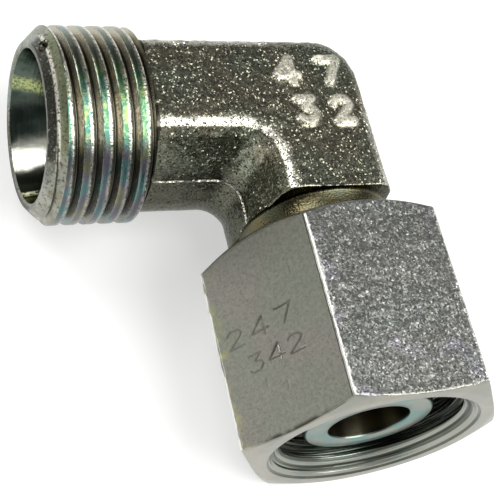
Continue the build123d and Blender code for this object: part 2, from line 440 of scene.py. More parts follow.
def forged_block():
    """The forged corner with its flash line, raised digits and coarse grain."""
    xs = spaced(-15.2, 6.8)
    ys = spaced(-10.2, 6.4, fine=-SHOULDER, reach=0.14)
    zs = spaced(-7.2, 6.7, fine=0.0, reach=0.3)
    grid = np.meshgrid(xs, ys, zs, indexing="ij")
    points, faces = surface_net(block_field(*grid), xs, ys, zs)
    for _ in range(3):
        value, gradient = slopes(points)
        size = np.maximum((gradient ** 2).sum(axis=1), 0.2)
        points = points - gradient * (value / size)[:, None]
    _, normal = slopes(points, 0.05)
    normal /= np.linalg.norm(normal, axis=1)[:, None]
    x, y, z = points.T
    on_side = step_up(1 - np.abs(normal[:, 2]), 0.5, 0.9) * (y > -SHOULDER + 0.1)
    ragged = 0.75 + 0.35 * noise(points, 0.8, 3) + 0.3 * noise(points, 0.3, 4)
    lift = 0.2 * np.exp(-((z - 0.04) / 0.1) ** 2) * ragged * on_side
    ridge = 1 - step_up(stroke_distance(x, y, raised_lines()), 0.2, 0.56)
    worn = 0.85 + 0.3 * noise(points, 0.9, 5)
    lift += 0.34 * ridge * worn * (z > 5.6)
    rough = 1 - 0.6 * (z < 0)
    rough *= (y > -SHOULDER + 0.12)
    lift += rough * (0.03 * noise(points, 0.95, 6) + 0.03 * noise(points, 0.42, 7))
    points = points + normal * lift[:, None]
    return mesh_object("forging", points, turned_outward(points, faces.tolist()))


# The male end and the nut arm

def helix(name, profile, pitch, first, turns, segments, axis):
    """Closed rod with a helical profile of (fraction of a pitch, radius) points.

    A turn's row starts at the front and goes on towards -Y or +X as the helix advances.
    """
    rows = len(profile)
    points = []
    for k in range(rows * turns + 1):
        fraction, radius = profile[k % rows]
        for j in range(segments):
            a = 2 * math.pi * j / segments
            along = first + pitch * (k // rows + fraction + j / segments)
            if axis == "x":
                points.append((along, -radius * math.sin(a), radius * math.cos(a)))
            else:
                points.append((radius * math.sin(a), along, radius * math.cos(a)))

    def vertex(k, j):
        return k * segments + j if j < segments else (k + rows) * segments

    last = rows * turns
    faces = []
    for k in range(last):
        for j in range(segments):
            if j == segments - 1 and k + 1 + rows > last:
                continue
            faces.append((vertex(k, j), vertex(k, j + 1), vertex(k + 1, j + 1), vertex(k + 1, j)))
    low = [vertex(0, j) for j in range(segments)] + [k * segments for k in range(rows, 0, -1)]
    high = [vertex(last, j) for j in range(segments)]
    high = [(last - n) * segments + segments - 1 for n in range(rows, 0, -1)] + high[::-1]
    for loop in (low, high):
        faces += fan(len(points), loop)
        x, y, _ = points[loop[0]]
        points.append((x, 0, 0) if axis == "x" else (0, y, 0))
    obj = mesh_object(name, points, faces)
    work = bmesh.new()
    work.from_mesh(obj.data)
    bmesh.ops.recalc_face_normals(work, faces=work.faces)
    work.to_mesh(obj.data)
    work.free()
    return obj


def male_thread():
    """A right-hand thread with wide flat crests, cut to the end's envelope."""
    falling = [(0.0, -0.06), (0.05, -0.15), (0.195, 0.03 - THREAD_DEPTH), (0.215, -THREAD_DEPTH)]
    rising = [(0.25, -THREAD_DEPTH), (0.27, 0.03 - THREAD_DEPTH), (0.435, -0.1), (0.46, -0.035)]
    crest = [(0.495, 0.0), (0.6, 0.0), (0.74, 0.0), (0.91, 0.0), (0.96, -0.02)]
    profile = [(f, THREAD_R + d) for f, d in falling + rising + crest]
    rod = helix("thread", profile, PITCH, THREAD_START, 10, 200, "x")
    slope = (THREAD_R - LEAD_R) / LEAD_LENGTH
    edge = FACE_X - 0.05
    outline = [(0, FACE_X), (LEAD_R - 0.06, FACE_X), (LEAD_R, edge)]
    outline += [(ENVELOPE_R, edge - (ENVELOPE_R - LEAD_R) / slope), (ENVELOPE_R, THREAD_END + 0.25)]
    outline += [(THREAD_R, THREAD_END), (7.1, THREAD_END - 0.5), (6.85, THREAD_END - 0.66)]
    outline += [(6.3, THREAD_END - 0.75), (0, THREAD_END - 0.75)]
    combine(rod, lathe("envelope", outline, "x"), "INTERSECT")
    return rod


def nut_arm():
    """Neck, stub and cone nipple with both grooves."""
    neck = [(0, 9.3), (NECK_R, 9.3), (NECK_R, 9.6), (6.12, 9.88), (6.3, SHOULDER), (6.1, 10.03)]
    neck += [(NECK_R, 10.2), (NECK_R, 13.15), (6.06, 13.28)]
    stub = [(STUB_R, 13.8), (STUB_R, RING_GROOVE[0]), (4.95, RING_GROOVE[0]), (4.95, RING_GROOVE[1])]
    stub += [(STUB_R, RING_GROOVE[1]), (STUB_R, 22.22), (6.52, CONE_START)]
    cone = [(CONE_R, CONE_START), (CONE_R - 0.95 * CONE_SLOPE, 23.25), (4.447, 23.25), (4.447, 24.95)]
    cone += [(CONE_R - 2.65 * CONE_SLOPE, 24.95), (CONE_R - 4.9 * CONE_SLOPE, 27.2)]
    tip = [(5.12, 27.33), (5.04, 27.44), (4.93, NIPPLE_END), (0, NIPPLE_END)]
    return lathe("nipple", neck + stub + cone + tip, "y")


def male_cutter():
    """The cone, the tube seat and the flow bore with its drilled end."""
    mouth = TUBE_R + CONE_DEPTH * CONE_SLOPE
    stop = FACE_X - TUBE_STOP
    drilled = -3.0
    outline = [(0, FACE_X + 1), (mouth + 0.5, FACE_X + 1), (mouth + 0.2, FACE_X + 0.02)]
    outline += [(mouth + 0.06, FACE_X - 0.04), (mouth - 0.02, FACE_X - 0.14)]
    outline += [(TUBE_R, FACE_X - CONE_DEPTH), (TUBE_R, stop), (MALE_BORE_R, stop)]
    outline += [(MALE_BORE_R, MALE_BORE_R * math.tan(math.radians(31)) + drilled), (0, drilled)]
    return lathe("bore", outline, "x")


def nipple_cutter():
    """The nut arm's flow bore and the small edge at its mouth."""
    outline = [(0, 0), (BORE_R, 0), (BORE_R, 27.33), (3.3, 27.44), (BORE_EDGE_R, NIPPLE_END)]
    outline += [(BORE_EDGE_R, NIPPLE_END + 1), (0, NIPPLE_END + 1)]
    return lathe("bore", outline, "y", 128)


def pit_cutter():
    """A lopsided blob that leaves a small dent in the male end's lead chamfer."""
    work = bmesh.new()
    bmesh.ops.create_icosphere(work, subdivisions=4, radius=1.0)
    points = np.array([v.co for v in work.verts])
    faces = [[v.index for v in f.verts] for f in work.faces]
    work.free()
    points *= (1 + 0.22 * noise(points, 0.7, 21) + 0.1 * noise(points, 0.3, 22))[:, None]
    points = points * PIT_SIZE + PIT
    return mesh_object("pit", points, turned_outward(points, faces))


def elbow_forging():
    """The whole one-piece body."""
    body = forged_block()
    for made in (male_thread, nut_arm):
        combine(body, made(), "UNION")
    for made in (male_cutter, nipple_cutter, pit_cutter):
        combine(body, made(), "DIFFERENCE")
    body.name = body.data.name = "elbow_forging"
    return body


# The nut

def hexagon_radius(angle):
    """Radius of the nut's hexagon with slightly rounded corners, for an angle from +Z towards +X."""
    half = SECTOR / 2
    a = (angle - math.radians(NUT_TURN) + half) % SECTOR - half
    flat = NUT_FLAT_R / np.cos(a)
    limit = NUT_FLAT_R / math.cos(half) - NUT_CORNER_R * (1 / math.cos(half) - 1)
    centre = limit - NUT_CORNER_R
    off = np.abs(a) - half
    inside = np.maximum(NUT_CORNER_R ** 2 - (centre * np.sin(off)) ** 2, 0)
    rounded = centre * np.cos(off) + np.sqrt(inside)
    return np.minimum(flat, np.where(inside > 0, rounded, flat))


def nut_angles():
    """Angles of the nut's grid lines: closer towards the corners, and all closer on the marked flat."""
    crowding = 1.4
    half_width = NUT_FLAT_R / math.cos(SECTOR / 2) / 2
    angles = []
    for flat in range(FLATS):
        columns = 200 if flat == MARKED_FLAT else 46
        middles = (np.arange(columns) + 0.5) / columns * 2 - 1
        across = half_width * np.sin(middles * crowding) / math.sin(crowding)
        angles.append(flat * SECTOR + np.arctan2(across, NUT_FLAT_R))
    return np.concatenate(angles) + math.radians(NUT_TURN)


def nut_rows():
    """Shares of the flat's length for the nut's rings, closer together where the marks are."""
    rows = np.linspace(0, 1, 60)
    marks = np.linspace(0.385, 0.68, 66)
    return np.sort(np.concatenate([rows[(rows < 0.38) | (rows > 0.685)], marks]))


def nut_blank():
    """Hexagon with both chamfers, its grid lines along the chamfers' curved edges."""
    angles = nut_angles()
    around = len(angles)
    radius = hexagon_radius(angles)
    back_y = NUT_BACK + (radius - CHAMFER_R) * math.tan(math.radians(30))
    face_y = NUT_FACE - np.maximum(radius - NUT_FLAT_R, 0) * math.tan(math.radians(18))
    rings = []

    def ring(r, reach):
        rings.append((np.broadcast_to(r, angles.shape), np.broadcast_to(reach, angles.shape)))

    for r in (6.3, 8.0, 8.9):
        ring(r, NUT_BACK)
    ring(9.06, NUT_BACK + 0.02)
    for t in (0.15, 0.35, 0.6, 0.85):
        ring(CHAMFER_R + (radius - CHAMFER_R) * t, NUT_BACK + (back_y - NUT_BACK) * t)
    ring(radius - 0.05, back_y + 0.015)
    ring(radius - 0.015, back_y + 0.06)
    for t in nut_rows():
        ring(radius, back_y + 0.13 + (face_y - back_y - 0.29) * t)
    ring(radius - 0.02, face_y - 0.07)
    ring(radius - 0.07, face_y - 0.015)
    for t in (0.9, 0.6, 0.3, 0.08):
        ring(9.42 + (radius - 9.42) * t, NUT_FACE - (NUT_FACE - face_y) * t)
    for r in (9.3, 9.0, 8.8, 6.3):
        ring(r, NUT_FACE)
    points = []
    for r, reach in rings:
        points.extend(zip(r * np.sin(angles), -reach, r * np.cos(angles)))
    points = np.array(points)
    faces = ring_faces(len(rings), around)
    for first in (0, len(points) - around):
        cap = fan(len(points), list(range(first, first + around)))
        faces += cap if first == 0 else [(c, b, a) for c, a, b in cap]
        points = np.vstack([points, (0, points[first][1], 0)])
    faces = turned_outward(points, faces)
    return mesh_object("nut", roughened_nut(points), faces)


def nut_place(points):
    """Where points lie on the nut: flat, distance across it, distance along the axis, radius."""
    turned = np.arctan2(points[:, 0], points[:, 2]) - math.radians(NUT_TURN)
    flat = np.floor(turned / SECTOR + 0.5).astype(int) % FLATS
    off = (turned + SECTOR / 2) % SECTOR - SECTOR / 2
    radius = np.hypot(points[:, 0], points[:, 2])
    return flat, radius * np.sin(off), -points[:, 1], radius


def nut_corner(points):
    """1 on the nut's worn corners and 0 on its flats, ragged between."""
    _, across, _, _ = nut_place(points)
    width = NUT_FLAT_R * math.tan(math.pi / 6)
    ragged = 0.1 * noise(points, 0.9, 14) + 0.07 * noise(points, 0.35, 15)
    return step_up(np.abs(across) + ragged, width - 0.25, width - 0.1)


def stamp_distance(across, reach):
    """Distance from the strokes of the digits that are stamped in the marked flat."""
    lines = placed_digits("247", (-4.32, -20.99), 1.6, 1.42, 0.85)
    lines += placed_digits("342", (-2.82, -23.45), 1.45, 1.35, 0.5)
    return stroke_distance(across, -reach, lines)


def roughened_nut(points):
    """Grain on the flats, worn corners, stamped digits on one flat and a few pits."""
    flat, across, reach, radius = nut_place(points)
    on_flat = step_up(radius, 9.42, 9.5) * step_up(reach, 13.3, 13.6) * (1 - step_up(reach, 28.3, 28.7))
    corner = nut_corner(points)
    grainy = np.isin(flat, GRAINY_FLATS) * (1 - corner)
    grain = 0.022 * noise(points, 0.6, 11) + 0.024 * noise(points, 0.3, 12) - 0.04
    satin = 0.006 * noise(points, 0.9, 13) - 0.01
    amount = on_flat * (grainy * grain + (1 - grainy) * satin)
    depth = 1 - step_up(stamp_distance(across, reach), 0.02, 0.12)
    fading = 0.8 + 0.5 * noise(points, 1.6, 16)
    marked = (flat == MARKED_FLAT) * on_flat
    amount = amount - 0.075 * depth * np.clip(fading, 0.35, 1) * marked
    for place in ((0.22, 25.49), (2.9, 17.2), (-1.6, 24.6)):
        pit = 1 - step_up(np.hypot((across - place[0]) * 1.3, reach - place[1]), 0.04, 0.2)
        amount -= 0.09 * pit * marked
    amount -= corner * on_flat * (0.03 + 0.03 * noise(points, 0.7, 17))
    scale = 1 + amount / np.maximum(radius, 1)
    return points * np.stack([scale, np.ones(len(scale)), scale], axis=1)


def nut_cutter():
    """Running bore, seat, relief, thread bore and mouth of the nut."""
    outline = [(0, NUT_BACK - 1), (6.8, NUT_BACK - 1), (6.8, NUT_BACK - 0.02), (6.65, NUT_BACK + 0.15)]
    outline += [(6.65, RING_GROOVE[0]), (7.45, RING_GROOVE[0]), (7.45, RING_GROOVE[1])]
    outline += [(6.65, RING_GROOVE[1]), (6.65, 20.75)]
    outline += [(8.15, 22.25), (8.15, 23.65), (7.2, 24.6), (7.2, 27.675), (8.36, 28.8)]
    outline += [(8.46, NUT_FACE - 0.02), (8.6, NUT_FACE + 0.02), (8.6, NUT_FACE + 1), (0, NUT_FACE + 1)]
    return lathe("bore", outline, "y", 224)


def nut_thread_cutter():
    """The nut's thread grooves, from the relief out to the mouth."""
    profile = [(0.0, 7.0), (0.12, 7.0), (0.17, 7.2), (0.4, 7.9), (0.44, 7.95), (0.56, 7.95), (0.6, 7.9),
               (0.83, 7.2), (0.88, 7.0)]
    rod = helix("groove", profile, 1.5, -33.0, 7, 200, "y")
    envelope = lathe("envelope", [(0, 23.0), (8.1, 23.0), (8.1, 30.0), (0, 30.0)], "y", 96)
    combine(rod, envelope, "INTERSECT")
    return rod


def swivel_nut():
    """The hexagon nut."""
    nut = nut_blank()
    combine(nut, nut_cutter(), "DIFFERENCE")
    combine(nut, nut_thread_cutter(), "DIFFERENCE")
    nut.name = nut.data.name = "nut_hexagon"
    return nut


# Materials

class Nodes:
    """Builds shader nodes in one tree, from numbers, tuples and other nodes' outputs."""

    def __init__(self, tree):
        self.tree = tree

    def give(self, socket, value):
        """Links an output to the socket, or sets it to a plain value; a colour is three numbers."""
        if isinstance(value, bpy.types.NodeSocket):
            self.tree.links.new(value, socket)
        elif socket.type == "RGBA":
            socket.default_value = (*value, 1.0)
        else:
            socket.default_value = value

    def node(self, kind, settings=None, **inputs):
        """A node; its inputs are named with _ for a space, or in0, in1 by place."""
        made = self.tree.nodes.new("ShaderNode" + kind)
        for key, value in (settings or {}).items():
            setattr(made, key, value)
        for key, value in inputs.items():
            name = int(key[2:]) if key[:2] == "in" else key.replace("_", " ")
            self.give(made.inputs[name], value)
        return made

    def maths(self, operation, a, b=0.0):
        return self.node("Math", {"operation": operation}, in0=a, in1=b).outputs[0]

    def times(self, first, *others):
        for other in others:
            first = self.maths("MULTIPLY", first, other)
        return first

    def plus(self, a, b):
        return self.maths("ADD", a, b)

    def ramp(self, value, low, high):
        """0 at low, 1 at high, smooth between and level beyond; low may be the larger one."""
        made = self.node("MapRange", {"interpolation_type": "SMOOTHSTEP"}, Value=value,
                         From_Min=low, From_Max=high)
        return made.outputs[0]

    def window(self, value, low, rise, fall, high):
        """1 from rise to fall, smooth down to 0 at low and at high."""
        return self.times(self.ramp(value, low, rise), self.ramp(value, high, fall))

    def spread(self, value, low, high):
        """Carries 0 to 1 over to low to high."""
        return self.node("MapRange", Value=value, To_Min=low, To_Max=high).outputs[0]

    def blend(self, amount, a, b):
        """Colour a where the amount is 0 and b where it is 1."""
        made = self.node("Mix", {"data_type": "RGBA"}, in0=amount, in6=a, in7=b)
        return made.outputs[2]

    def vectors(self, operation, a, b):
        return self.node("VectorMath", {"operation": operation}, in0=a, in1=b).outputs[0]

    def scaled(self, vector, amount):
        made = self.node("VectorMath", {"operation": "SCALE"}, in0=vector, Scale=amount)
        return made.outputs[0]


class Skin(Nodes):
    """The nodes of one material, with the place on the part in millimetres."""

    def __init__(self, name):
        self.material = bpy.data.materials.new(name)
        self.material.use_nodes = True
        super().__init__(self.material.node_tree)
        self.shader = self.tree.nodes["Principled BSDF"]
        self.where = self.scaled(self.node("TexCoord").outputs["Object"], 1 / MM)

    def texture(self, scale, detail=2.0, roughness=0.5, where=None):
        """Noise from 0 to 1, with about scale waves a millimetre."""
        where = self.where if where is None else where
        made = self.node("TexNoise", Vector=where, Scale=scale, Detail=detail, Roughness=roughness)
        return made.outputs["Fac"]

    def patches(self, scale, low, high, detail=2.0):
        """0 to 1 in patches, from noise between low and high."""
        return self.ramp(self.texture(scale, detail), low, high)

    def paint(self, amount, colour):
        """Lays a colour over the skin's own, by an amount from 0 to 1."""
        self.colour = self.blend(amount, self.colour, colour)

    def named(self, name):
        """A number stored on the mesh's vertices."""
        return self.node("Attribute", {"attribute_name": name}).outputs["Fac"]

    def bump(self, height, depth):
        """The normal that heights give, depth millimetres deep."""
        made = self.node("Bump", Strength=1.0, Distance=depth * MM, Height=height)
        return made.outputs[0]

    def facets(self, cell, tilt, steep, share):
        """Leaning facets as a vector to add to the normal: slight ones, and a share that are steep."""
        wander = self.node("TexNoise", Vector=self.where, Scale=0.9 / cell, Detail=1.0)
        moved = self.vectors("ADD", self.where, self.scaled(wander.outputs["Color"], cell * 1.6))
        cells = self.node("TexVoronoi", Vector=moved, Scale=1 / cell)
        lean = self.vectors("SUBTRACT", cells.outputs["Color"], (0.5, 0.5, 0.5))
        lot = self.node("TexWhiteNoise", Vector=cells.outputs["Position"])
        amount = self.spread(self.maths("LESS_THAN", lot.outputs["Value"], share), tilt, steep)
        return self.scaled(lean, amount)

    def grain(self, facets, depth, scale):
        """The normal of facets over a bumpy skin, as a peened and plated surface has."""
        bumpy = self.bump(self.texture(scale, 3.0, 0.62), depth)
        return self.vectors("NORMALIZE", self.vectors("ADD", bumpy, self.facets(*facets)), (0, 0, 0))

    def finish(self, roughness, normal, metallic=1.0):
        """Gives the shader its inputs and returns the material."""
        values = (self.colour, metallic, roughness, normal)
        for name, value in zip(("Base Color", "Metallic", "Roughness", "Normal"), values):
            self.give(self.shader.inputs[name], value)
        return self.material


def forged_material():
    """Plated steel with a peened, sparkling skin, dark olive with browner and greener clouds, painted
    shade low down and a painted fillet highlight.
    """
    skin = Skin("forged_zinc_skin")
    raised = skin.named("raised")
    clouds = skin.patches(0.2, 0.38, 0.62, 3.0)
    skin.colour = skin.blend(clouds, (0.250, 0.235, 0.170), (0.210, 0.232, 0.172))
    specks = skin.texture(6.5)
    skin.paint(skin.ramp(specks, 0.44, 0.32), (0.09, 0.085, 0.06))
    skin.paint(skin.ramp(specks, 0.52, 0.68), (0.38, 0.375, 0.30))
    # Painted shade: darker towards the bottom, where the underside reflects the floor in the part's own
    # shadow.
    painted_low_shade = skin.times(skin.ramp(skin.named("height"), 2.8, 0.4), 0.62)
    skin.paint(painted_low_shade, (0.05, 0.052, 0.04))
    # Painted highlight: lighter on the front fillets, where the key light makes a bright band.
    painted_fillet_highlight = skin.times(skin.named("painted_fillet_highlight"), skin.ramp(specks, 0.34, 0.46))
    skin.paint(painted_fillet_highlight, (0.52, 0.51, 0.43))
    grains = skin.patches(4.2, 0.36, 0.5)
    pale = skin.plus(skin.times(grains, 0.6, raised), skin.times(raised, 0.3))
    skin.paint(pale, (0.66, 0.64, 0.54))
    skin.paint(skin.named("flash"), (0.62, 0.61, 0.52))
    rough = skin.maths("MAXIMUM", skin.spread(specks, 0.24, 0.36), skin.times(raised, 0.6))
    return skin.finish(rough, skin.grain((0.12, 0.13, 1.3, 0.32), 0.010, 7.0))


def cylinder_places(skin, axis):
    """Distance along an arm, from side to side, towards the front and from the arm's axis, in mm."""
    moved = skin.vectors("SUBTRACT", skin.where, (CROSSING_X, 0, 0))
    x, y, z = skin.node("SeparateXYZ", in0=moved).outputs
    along, side = (x, y) if axis == "x" else (y, x)
    squares = skin.plus(skin.times(side, side), skin.times(z, z))
    return along, side, z, skin.maths("SQRT", squares)


def ring_noise(skin, places, per_mm):
    """Noise that changes only along the axis and away from it, so that it makes rings."""
    along, _, _, radius = places
    place = skin.node("CombineXYZ", X=skin.times(along, per_mm), Y=skin.times(radius, per_mm))
    return skin.texture(1.0, 3.0, where=place.outputs[0])


def turned_material(name, axis, colours, roughness, film=None, ring=0.7, grit=0.5, burr_and_glint=None,
                    per_mm=9.0, edge_tint=(1, 1, 1)):
    """Turned and plated steel: fine rings round one axis over two colours that drift into each other.

    film takes the skin and its cylinder_places and paints the coloured plating. ring and grit are how
    deep the rings and the fine grain are, and per_mm how close the rings are. burr names the stored
    number that says where the surface is coarse. edge_tint dims it at grazing angles.
    """
    skin = Skin(name)
    skin.give(skin.shader.inputs["Specular Tint"], edge_tint)
    places = cylinder_places(skin, axis)
    rings = ring_noise(skin, places, per_mm)
    skin.colour = skin.blend(skin.patches(0.5, 0.4, 0.62), *colours)
    if film:
        film(skin, places)
    height = skin.plus(skin.times(rings, ring), skin.times(skin.texture(7.0), grit))
    if burr_and_glint:
        height = skin.plus(height, skin.times(skin.texture(4.0), 6.0, skin.named(burr_and_glint)))
    return skin.finish(skin.spread(rings, *roughness), skin.bump(height, 0.012))


def thread_film_sheen_and_shade(skin, places):
    """Grey, green, teal and yellow film on the crests, green only as painted sheen where the key
    reflects; painted highlight on worn edges, painted shade in the roots.
    """
    _, side, _, radius = places
    drift = skin.texture(0.35)
    drifted = skin.ramp(drift, 0.42, 0.62)
    plain = skin.blend(drifted, (0.17, 0.185, 0.14), (0.11, 0.16, 0.14))
    green = skin.blend(drifted, (0.05, 0.145, 0.075), (0.04, 0.13, 0.10))
    green = skin.blend(skin.patches(0.9, 0.50, 0.66), green, (0.22, 0.27, 0.08))
    # Painted glints: brighter grains in the green film.
    grains = skin.texture(5.0)
    green = skin.blend(skin.ramp(grains, 0.5, 0.66), green, (0.17, 0.25, 0.14))
    # Painted sheen: the green film is laid only on the band of crests where the key light reflects,
    # grey film elsewhere.
    moved = skin.plus(side, skin.times(drift, 2.4))
    film = skin.blend(skin.window(moved, -6.0, -4.4, 0.4, 2.2), plain, green)
    hue = skin.texture(0.55)
    low = skin.blend(skin.ramp(hue, 0.40, 0.52), (0.065, 0.135, 0.135), (0.105, 0.10, 0.125))
    low = skin.blend(skin.ramp(hue, 0.52, 0.64), low, (0.135, 0.145, 0.085))
    below = skin.ramp(side, -4.6, -6.2)
    film = skin.blend(below, film, low)
    film = skin.blend(skin.ramp(side, 5.8, 7.0), film, (0.20, 0.27, 0.24))
    crest = skin.ramp(radius, THREAD_R - 0.12, THREAD_R - 0.02)
    crest = skin.maths("MAXIMUM", crest, skin.times(below, 0.8))
    skin.paint(crest, film)
    # Painted shade: darker in the thread's roots.
    root = skin.ramp(radius, THREAD_R - 0.42, THREAD_R - 0.64)
    skin.paint(root, (0.09, 0.086, 0.068))
    # Painted highlight: near-white glints on the crests' burred edges, fewer towards the bottom.
    clear = skin.maths("SUBTRACT", 1.0, skin.times(below, 0.6))
    burr_and_glint = skin.times(skin.named("burr_and_glint"), skin.ramp(grains, 0.34, 0.5), clear)
    skin.paint(burr_and_glint, (0.78, 0.75, 0.64))


def end_stain_and_shade(skin, places):
    """Painted shade as a dark ring, a pale line and olive film on the male end's face and lead chamfer,
    dull patches.
    """
    _, side, _, radius = places
    moved = skin.plus(side, skin.times(skin.texture(0.9, 3.0), 2.4))
    grains = skin.texture(4.5, 3.0)
    skin.paint(skin.ramp(moved, 5.2, 6.6), (0.27, 0.315, 0.28))
    olive = skin.times(skin.patches(0.6, 0.5, 0.62), 0.6)
    skin.paint(olive, (0.17, 0.16, 0.10))
    # Painted shade: a near-black ring in the middle band, where the face reflects the floor in the
    # part's shadow.
    middle = skin.window(moved, -5.4, -4.2, 5.0, 6.2)
    shade = skin.times(skin.window(radius, 6.2, 6.4, 7.18, 7.3), middle, 0.9)
    skin.paint(shade, (0.016, 0.017, 0.012))
    outside = skin.times(skin.ramp(radius, 7.36, 7.6), middle)
    skin.paint(outside, (0.20, 0.22, 0.13))
    line = skin.times(skin.window(radius, 7.2, 7.3, 7.4, 7.5), middle, skin.ramp(grains, 0.36, 0.52))
    skin.paint(line, (0.80, 0.77, 0.66))
    skin.paint(skin.ramp(grains, 0.46, 0.34), (0.09, 0.092, 0.072))
    skin.paint(skin.ramp(grains, 0.56, 0.72), (0.32, 0.31, 0.26))


def cone_film_and_painted_light(skin, places):
    """Painted shade in the cone above and below its bright strip, a painted yellow-green reflection
    band above and a pale streak below.
    """
    _, side, front, _ = places
    drift = skin.plus(side, skin.times(skin.texture(0.5), 1.5))
    # Painted shade: dark teal above the strip where the key's reflection falls, near black below it, so
    # the strip stays narrow.
    upper = skin.ramp(drift, 2.4, 3.4)
    skin.paint(upper, (0.09, 0.115, 0.095))
    skin.paint(skin.ramp(drift, 1.0, 0.1), (0.03, 0.032, 0.025))
    clouds = skin.patches(0.7, 0.42, 0.58, 3.0)
    skin.paint(skin.times(clouds, upper), (0.05, 0.075, 0.062))
    skin.paint(skin.ramp(drift, -1.4, -2.0), (0.02, 0.022, 0.017))
    skin.paint(skin.ramp(side, -3.6, -4.2), (0.12, 0.14, 0.07))
    streak = skin.window(side, -3.65, -3.45, -3.1, -2.9)
    streak = skin.times(streak, skin.patches(3.0, 0.34, 0.6))
    skin.paint(streak, (0.75, 0.74, 0.5))
    # Painted reflection: a yellow-green band where a light behind the part would reflect.
    band = skin.times(skin.window(front, -3.0, -2.3, -2.0, -1.2), skin.ramp(side, 0.0, 1.0))
    band = skin.times(band, skin.patches(4.0, 0.3, 0.62))
    skin.paint(band, (0.36, 0.41, 0.17))


def mouth_rings(skin, places):
    """Pale and dark rings inside the nut; the pale ones are painted highlights for the inner thread's
    bright arcs.
    """
    rings = ring_noise(skin, places, 3.0)
    # Painted highlight: pale rings for the inner thread's bright arcs.
    skin.paint(skin.ramp(rings, 0.50, 0.60), (0.33, 0.34, 0.30))
    skin.paint(skin.ramp(rings, 0.44, 0.36), (0.045, 0.05, 0.042))


def satin_material():
    """The nut's smooth flats: even grey, fine specks, yellow film along one edge."""
    skin = Skin("nut_zinc_satin")
    clouds = skin.patches(0.16, 0.38, 0.62, 3.0)
    skin.colour = skin.blend(clouds, (0.215, 0.226, 0.188), (0.240, 0.225, 0.202))
    mottle = skin.times(skin.ramp(skin.texture(3.0, 4.0, 0.75), 0.36, 0.64), 0.45)
    skin.paint(mottle, (0.34, 0.345, 0.29))
    skin.paint(skin.ramp(skin.texture(5.0, 3.0, 0.7), 0.50, 0.72), (0.17, 0.17, 0.135))
    edge = skin.times(skin.named("edge"), skin.patches(0.7, 0.46, 0.7))
    skin.paint(edge, (0.42, 0.38, 0.16))
    skin.paint(skin.named("worn"), (0.80, 0.80, 0.74))
    skin.paint(skin.named("dark"), (0.06, 0.058, 0.045))
    return skin.finish(0.42, skin.bump(skin.texture(3.2, 4.0, 0.7), 0.012))


def grainy_material():
    """The nut's rough flats: fine bright grain with a little blue and violet film."""
    skin = Skin("nut_zinc_grain")
    clouds = skin.patches(0.2, 0.4, 0.62, 3.0)
    skin.colour = skin.blend(clouds, (0.275, 0.275, 0.252), (0.25, 0.268, 0.244))
    skin.paint(skin.patches(0.35, 0.56, 0.72), (0.34, 0.33, 0.36))
    skin.paint(skin.patches(4.5, 0.5, 0.62), (0.20, 0.20, 0.185))
    skin.paint(skin.named("worn"), (0.80, 0.80, 0.76))
    return skin.finish(0.42, skin.grain((0.14, 0.28, 0.75, 0.3), 0.025, 5.5))


def wire_material():
    """Drawn spring wire."""
    skin = Skin("spring_wire_drawn")
    lines = skin.texture(6.0, 3.0)
    skin.colour = skin.blend(lines, (0.30, 0.30, 0.31), (0.48, 0.48, 0.48))
    return skin.finish(0.3, skin.bump(lines, 0.01))


def rubber_material():
    """Moulded black rubber."""
    skin = Skin("seal_rubber_black")
    specks = skin.texture(5.0, 3.0)
    skin.colour = skin.blend(specks, (0.012, 0.012, 0.012), (0.03, 0.03, 0.03))
    return skin.finish(0.5, skin.bump(specks, 0.01), metallic=0.0)


# Places in the lists of materials that elbow_materials and nut_materials make
FORGED, THREAD, NECK, CONE, END, BORE, NIPPLE = range(7)
SATIN, GRAINY, TURNED, INSIDE = range(4)


def elbow_materials():
    return [
        forged_material(),
        turned_material("forged_zinc_thread", "x", ((0.34, 0.31, 0.23), (0.28, 0.275, 0.23)),
                        (0.18, 0.34), thread_film_sheen_and_shade, grit=1.4, burr_and_glint="burr_and_glint"),
        turned_material("forged_zinc_neck", "y", ((0.125, 0.11, 0.06), (0.085, 0.092, 0.058)),
                        (0.10, 0.2), grit=3.0),
        turned_material("forged_zinc_cone", "x", ((0.66, 0.67, 0.58), (0.56, 0.58, 0.50)),
                        (0.18, 0.3), cone_film_and_painted_light, ring=1.2, edge_tint=(0.4, 0.4, 0.36)),
        turned_material("forged_zinc_end", "x", ((0.34, 0.34, 0.29), (0.25, 0.26, 0.22)),
                        (0.3, 0.45), end_stain_and_shade, grit=1.3),
        # Near black, partly as painted shade in the deep bore.
        turned_material("forged_zinc_bore", "y", ((0.05, 0.042, 0.022), (0.035, 0.032, 0.022)),
                        (0.2, 0.3)),
        turned_material("forged_zinc_nipple", "y", ((0.15, 0.26, 0.24), (0.25, 0.275, 0.24)),
                        (0.25, 0.4)),
    ]


def nut_materials():
    return [
        satin_material(),
        grainy_material(),
        turned_material("nut_zinc_turned", "y", ((0.33, 0.32, 0.275), (0.28, 0.285, 0.25)),
                        (0.26, 0.4), grit=2.0),
        turned_material("nut_zinc_bore", "y", ((0.12, 0.13, 0.105), (0.085, 0.11, 0.092)),
                        (0.2, 0.34), mouth_rings, ring=14.0, per_mm=3.2),
    ]


# What each face and vertex is made of

def read(items, field):
    """A vector of each vertex or face of a mesh."""
    values = np.empty(len(items) * 3)
    items.foreach_get(field, values)
    return values.reshape(-1, 3)


def vertex_places(obj):
    """The vertices, in millimetres about the crossing."""
    return read(obj.data.vertices, "co") / MM - (CROSSING_X, 0, 0)


def face_centres(obj):
    """Centre and normal of each face, in millimetres about the crossing."""
    faces = obj.data.polygons
    return read(faces, "center") / MM - (CROSSING_X, 0, 0), read(faces, "normal")


def store(obj, name, values):
    """Keeps a number for each vertex, which the materials read by name."""
    made = obj.data.attributes.new(name, "FLOAT", "POINT")
    made.data.foreach_set("value", values.astype(np.float32))


